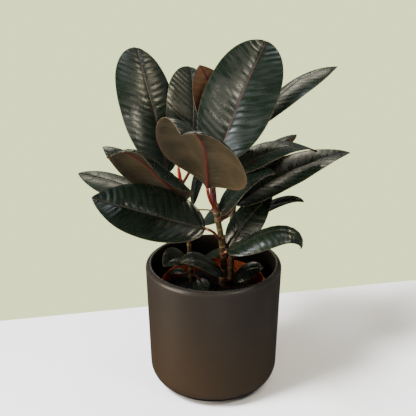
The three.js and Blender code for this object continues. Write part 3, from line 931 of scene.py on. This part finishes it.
under = Finish("leaf_under_face")
place = object_place(under)
mid, edge, along = mark(under, "mid"), mark(under, "edge"), mark(under, "along")
warm = mark(under, "warm")
veins = vein_lines(under)
cloud = clouds(under, place, 34, 4, 0.6)
skin = blend(under, step(under, cloud, 0.3, 0.7), rgb(42, 36, 19), rgb(56, 47, 28))
skin = blend(under, step(under, warm, 0.3, 1.0), skin, rgb(84, 56, 33))
skin = blend(under, veins * 0.35, skin, rgb(46, 36, 24))
skin = blend(under, (1 - step(under, edge, 0.001, 0.007)) * 0.45, skin, rgb(76, 55, 34))
rib = 1 - step(under, mid - (1 - along) * 0.0011, 0.0006, 0.0018)
skin = blend(under, rib * 0.92, skin, rgb(70, 17, 12))
under_finish = surface(
    under,
    Base_Color=skin,
    Roughness=0.62 + cloud * 0.1,
    Normal=bump(under, veins * 0.8 + clouds(under, place, 480, 4) * 0.15, 0.0004, 0.2),
    Specular_IOR_Level=0.25,
)

margin = Finish("leaf_margin")
fleck = clouds(margin, object_place(margin), 260, 3)
margin_finish = surface(
    margin,
    Base_Color=blend(margin, step(margin, fleck, 0.35, 0.65), rgb(64, 52, 38), rgb(92, 80, 60)),
    Roughness=0.45 + fleck * 0.1,
    Normal=bump(margin, fleck, 0.0002, 0.5),
)


def outline(s, blunt):
    """Half width at a share of the blade's length, as a share of its greatest."""
    if s < BLADE_WIDEST:
        return math.sqrt(max(0, 1 - ((BLADE_WIDEST - s) / BLADE_WIDEST) ** 2))
    x = (s - BLADE_WIDEST) / (1 - BLADE_WIDEST)
    return max(0, 1 - x ** (2.2 + 0.4 * blunt)) ** (0.9 - 0.26 * blunt)


def spine(leaf):
    """Frames along the midrib: point, direction, left and up."""
    frames = []
    point = Vector((leaf["x"], leaf["y"], SOIL_LEVEL + leaf["z"]))
    for i in range(SPINE_STEPS + 1):
        s = i / SPINE_STEPS
        azimuth = leaf["azimuth"] + leaf["sweep"] * s
        along = direction(azimuth, leaf["rise"] - leaf["arch"] * s ** leaf["bow"])
        level = direction(azimuth + 90, 0)
        lift = along.cross(level)
        roll = math.radians(leaf["roll"] + leaf["twist"] * s)
        left = level * math.cos(roll) + lift * math.sin(roll)
        frames.append((point.copy(), left, along.cross(left)))
        point += along * leaf["length"] / SPINE_STEPS
    return frames


def smooth(value, low, high):
    """0 below low, 1 above high and smooth between them, for a number."""
    x = max(0.0, min(1.0, (value - low) / (high - low)))
    return x * x * (3 - 2 * x)


def blade_mesh(name, leaf):
    """The blade's upper face, with the marks that its finishes read."""
    bm = bmesh.new()
    columns = len(ACROSS) - 1
    pairs = max(FEWEST_VEINS, round(leaf["length"] / VEIN_PITCH))
    rows = pairs * ROWS_TO_A_VEIN
    bmesh.ops.create_grid(bm, x_segments=2 * columns, y_segments=rows, size=1)
    layers = {
        key: bm.verts.layers.float.new(key)
        for key in ("vein", "mid", "edge", "along", "tone", "blush", "warm", "thick")
    }
    tone, blush, warm = LEAF_LOOKS[name]
    frames = spine(leaf)
    half = leaf["width"] / 2
    ribbed = PUFF * min(1, leaf["length"] / PUFFED_LENGTH)
    ribbed *= FLAT_SHARE if name in FLAT_LEAVES else 1
    thinner = min(1, 0.35 + leaf["length"] / 200)
    seed = Vector((leaf["x"], leaf["y"], leaf["z"])) * 0.37
    for vert in bm.verts:
        y = (vert.co.y + 1) / 2
        s = 0.62 * y + 0.38 * (1 - math.cos(math.pi * y)) / 2
        step_along = s * SPINE_STEPS
        low = min(SPINE_STEPS - 1, int(step_along))
        share = step_along - low
        point, left, up = (a.lerp(b, share) for a, b in zip(frames[low], frames[low + 1]))
        place = ACROSS[round(abs(vert.co.x) * columns)]
        side = -1 if vert.co.x > 0 else 1
        curl = leaf["curl_left"] if side > 0 else leaf["curl_right"]
        reach = place * outline(s, leaf["blunt"])
        lateral = lift = 0.0
        for k in range(CUP_STEPS):
            q = (k + 0.5) / CUP_STEPS * reach
            slope = math.radians(leaf["fold"] + leaf["cup"] * q + curl * q**3)
            lateral += math.cos(slope) * reach * half / CUP_STEPS
            lift += math.sin(slope) * reach * half / CUP_STEPS
        from_mid = reach * half
        phase = pairs * (s - VEIN_SLANT * from_mid / leaf["length"] * (1 + 0.5 * place))
        phase += VEIN_WANDER * noise.noise(seed + Vector((side * 3 + s * 9, place * 1.4, 0)))
        puff = abs(math.sin(math.pi * phase))
        puff *= smooth(place, 0.02, 0.2) * (1 - smooth(place, 0.84, 1))
        sag = GROOVE * hump(from_mid, GROOVE_WIDTH)
        spot = Vector((s * leaf["length"], side * from_mid, 0)) / SWELL_WIDTH
        swell = SWELL * noise.noise(seed + spot)
        swell *= smooth(s, 0, 0.15) * min(1, leaf["length"] / SWELL_LENGTH)
        lift += ribbed * 2 * (puff - 0.5) - sag + swell
        vert.co = (point + left * side * lateral + up * lift) * MM
        vert[layers["vein"]] = phase
        vert[layers["mid"]] = from_mid * MM
        vert[layers["edge"]] = max(0.0, outline(s, leaf["blunt"]) - reach) * half * MM
        vert[layers["along"]] = s
        vert[layers["tone"]] = tone
        vert[layers["blush"]] = blush
        vert[layers["warm"]] = warm
        keel = KEEL_DEPTH + (KEEL_TIP_DEPTH - KEEL_DEPTH) * s - sag
        keel *= hump(from_mid, KEEL_WIDTH)
        skin = BLADE_THICKNESS + (MARGIN_THICKNESS - BLADE_THICKNESS) * place**2
        vert[layers["thick"]] = max(skin, min(KEEL_DEPTH, keel)) * thinner
    bmesh.ops.remove_doubles(bm, verts=bm.verts[:], dist=2e-5)
    return bm


for name, leaf in LEAVES.items():
    bm = blade_mesh(name, leaf)
    finishes = [face_finish, under_finish, margin_finish]
    blade = piece(f"{name}_blade", bm, [name], finishes, sharp=math.radians(80))
    values = [v.value for v in blade.data.attributes["thick"].data]
    group = blade.vertex_groups.new(name="thickness")
    for index, value in enumerate(values):
        group.add([index], value / KEEL_DEPTH, "REPLACE")
    shell = blade.modifiers.new("thickness", "SOLIDIFY")
    shell.thickness = KEEL_DEPTH * MM
    shell.offset = -1
    shell.vertex_group = "thickness"
    shell.thickness_vertex_group = 0.0
    shell.material_offset = 1
    shell.material_offset_rim = 2

# ---- Studio ----
# A plain pale floor that ends at a slanting line, open pale sage air behind it that only the
# camera sees, soft lights low and high on the left and smaller ones in front, above, on the
# right and behind, a sun for the floor's shadow, and the camera.

CAMERA_PLACE = (-0.00818, -1.11935, 0.75138)
CAMERA_PITCH = 22.84
CAMERA_LENS = 73.24
FLOOR_EDGE = ((-0.3695, 0.159), (0.3876, 0.3115))
FLOOR_REACH = 5

floor = bmesh.new()
bmesh.ops.create_grid(floor, x_segments=1, y_segments=1, size=1)
slant = (FLOOR_EDGE[1][1] - FLOOR_EDGE[0][1]) / (FLOOR_EDGE[1][0] - FLOOR_EDGE[0][0])
for vert in floor.verts:
    x = vert.co.x * FLOOR_REACH
    back_y = FLOOR_EDGE[0][1] + slant * (x - FLOOR_EDGE[0][0])
    vert.co = Vector((x, back_y if vert.co.y > 0 else -FLOOR_REACH, 0))
mesh = bpy.data.meshes.new("studio_floor")
floor.to_mesh(mesh)
floor.free()
floor_object = bpy.data.objects.new("studio_floor", mesh)
bpy.context.scene.collection.objects.link(floor_object)
paper = Finish("floor_paper")
tooth = clouds(paper, object_place(paper), 40, 3)
mesh.materials.append(
    surface(
        paper,
        Base_Color=blend(paper, tooth * 0.1, rgb(212, 214, 218), rgb(204, 206, 210)),
        Roughness=0.8 + tooth * 0.1,
    )
)
floor_object.visible_glossy = False

world = bpy.data.worlds.new("studio_air")
bpy.context.scene.world = world
world.use_nodes = True
air = Finish("studio_air", world.node_tree)
seen = air.node("ShaderNodeLightPath", output=0)
backdrop = air.node("ShaderNodeBackground", {}, {"Color": (0.9, 1.0, 0.505, 1), "Strength": 1.58})
ambient = air.node("ShaderNodeBackground", {}, {"Color": rgb(226, 230, 232), "Strength": 0.18})
both = air.node("ShaderNodeMixShader", {}, {0: seen, 1: ambient, 2: backdrop})
air.node("ShaderNodeOutputWorld", {}, {"Surface": both})

# Place, width and height, power in watts and colour of each soft light. All point at the
# middle of the plant.
LIGHT_AIM = Vector((0, 0, 0.28))
LIGHTS = {
    "key_left": ((-1.15, -0.55, 1.45), 0.5, 0.5, 15, rgb(242, 248, 255)),
    "low_left": ((-1.35, -0.55, 0.42), 1.0, 0.9, 48, rgb(255, 238, 214)),
    "front_top": ((0.78, -0.72, 1.45), 0.3, 0.3, 8, rgb(255, 244, 222)),
    "overhead": ((0.1, 0.45, 1.75), 0.5, 0.5, 2.5, rgb(246, 250, 255)),
    "front_high": ((0.22, -1.0, 1.5), 0.26, 0.26, 2.6, rgb(255, 240, 226)),
    "right_top": ((0.75, 0.35, 1.35), 0.3, 0.3, 5, rgb(255, 240, 205)),
    "back": ((-0.1, 1.35, 1.05), 0.7, 0.4, 3.5, rgb(255, 248, 222)),
}
for name, (spot, width, height, power, colour) in LIGHTS.items():
    lamp = bpy.data.lights.new(name, "AREA")
    lamp.shape = "RECTANGLE"
    lamp.size = width
    lamp.size_y = height
    lamp.energy = power
    lamp.color = colour[:3]
    lit = bpy.data.objects.new(name, lamp)
    lit.location = spot
    lit.rotation_euler = (LIGHT_AIM - Vector(spot)).to_track_quat("-Z", "Y").to_euler()
    bpy.context.scene.collection.objects.link(lit)

# A soft sun from the left throws the shadow. It lights the floor alone.
SUN_PLACE = (-0.95, -0.44, 1.6)
SUN_POWER = 9.8
SUN_SOFTNESS = 16
floor_only = bpy.data.collections.new("floor_only")
floor_only.objects.link(floor_object)
sun = bpy.data.lights.new("floor_sun", "SUN")
sun.energy = SUN_POWER
sun.angle = math.radians(SUN_SOFTNESS)
sun_object = bpy.data.objects.new("floor_sun", sun)
sun_object.rotation_euler = (-Vector(SUN_PLACE)).to_track_quat("-Z", "Y").to_euler()
bpy.context.scene.collection.objects.link(sun_object)
sun_object.light_linking.receiver_collection = floor_only

camera = bpy.data.cameras.new("camera")
camera.lens = CAMERA_LENS
camera.sensor_width = 36
camera.clip_end = 20
eye = bpy.data.objects.new("camera", camera)
eye.location = CAMERA_PLACE
eye.rotation_euler = (math.radians(90 - CAMERA_PITCH), 0, 0)
bpy.context.scene.collection.objects.link(eye)
bpy.context.scene.camera = eye
